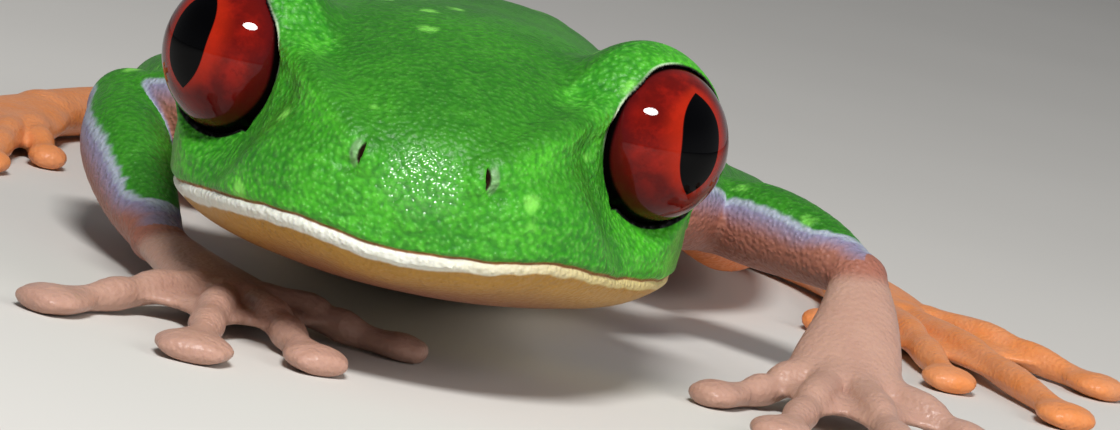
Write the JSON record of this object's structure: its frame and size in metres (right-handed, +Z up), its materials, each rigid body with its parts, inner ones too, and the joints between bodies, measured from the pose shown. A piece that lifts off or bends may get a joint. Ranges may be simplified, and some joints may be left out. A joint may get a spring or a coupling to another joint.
{
  "type": "red-eyed tree frog",
  "caption": "Life-size still model of a red-eyed tree frog crouched on the floor, chin low, hands spread, hind legs folded.",
  "frame": {"origin": "the point where the belly rests on the floor, on the body's midline", "axes": "+Z up, -Y the way the frog faces, +X the frog's left"},
  "size_m": [0.067, 0.0693, 0.0151],
  "materials": {
    "skin_green": "moist, finely granular leaf-green skin",
    "skin_flank": "smooth blue flank with cream bars under a green back",
    "lip_cream": "smooth cream lip and throat",
    "skin_orange": "smooth moist orange skin",
    "skin_hand": "smooth translucent orange-tan skin",
    "eye_red": "wet, glassy red iris with a black upright pupil"
  },
  "bodies": {
    "root": {"head": "skin_green", "jaw": "lip_cream", "trunk": "skin_flank", "eye_left": "eye_red", "eye_right": "eye_red", "upper_arm_left": "skin_green", "forearm_left": "skin_green", "palm_left": "skin_hand", "finger_1_left": "skin_hand", "finger_2_left": "skin_hand", "finger_3_left": "skin_hand", "finger_4_left": "skin_hand", "thigh_left": "skin_flank", "shank_left": "skin_green", "tarsus_left": "skin_orange", "sole_left": "skin_orange", "toe_1_left": "skin_orange", "toe_2_left": "skin_orange", "toe_3_left": "skin_orange", "toe_4_left": "skin_orange", "toe_5_left": "skin_orange", "upper_arm_right": "skin_green", "forearm_right": "skin_green", "palm_right": "skin_hand", "finger_1_right": "skin_hand", "finger_2_right": "skin_hand", "finger_3_right": "skin_hand", "finger_4_right": "skin_hand", "thigh_right": "skin_flank", "shank_right": "skin_green", "tarsus_right": "skin_orange", "sole_right": "skin_orange", "toe_1_right": "skin_orange", "toe_2_right": "skin_orange", "toe_3_right": "skin_orange", "toe_4_right": "skin_orange", "toe_5_right": "skin_orange"}
  },
  "joints": []
}
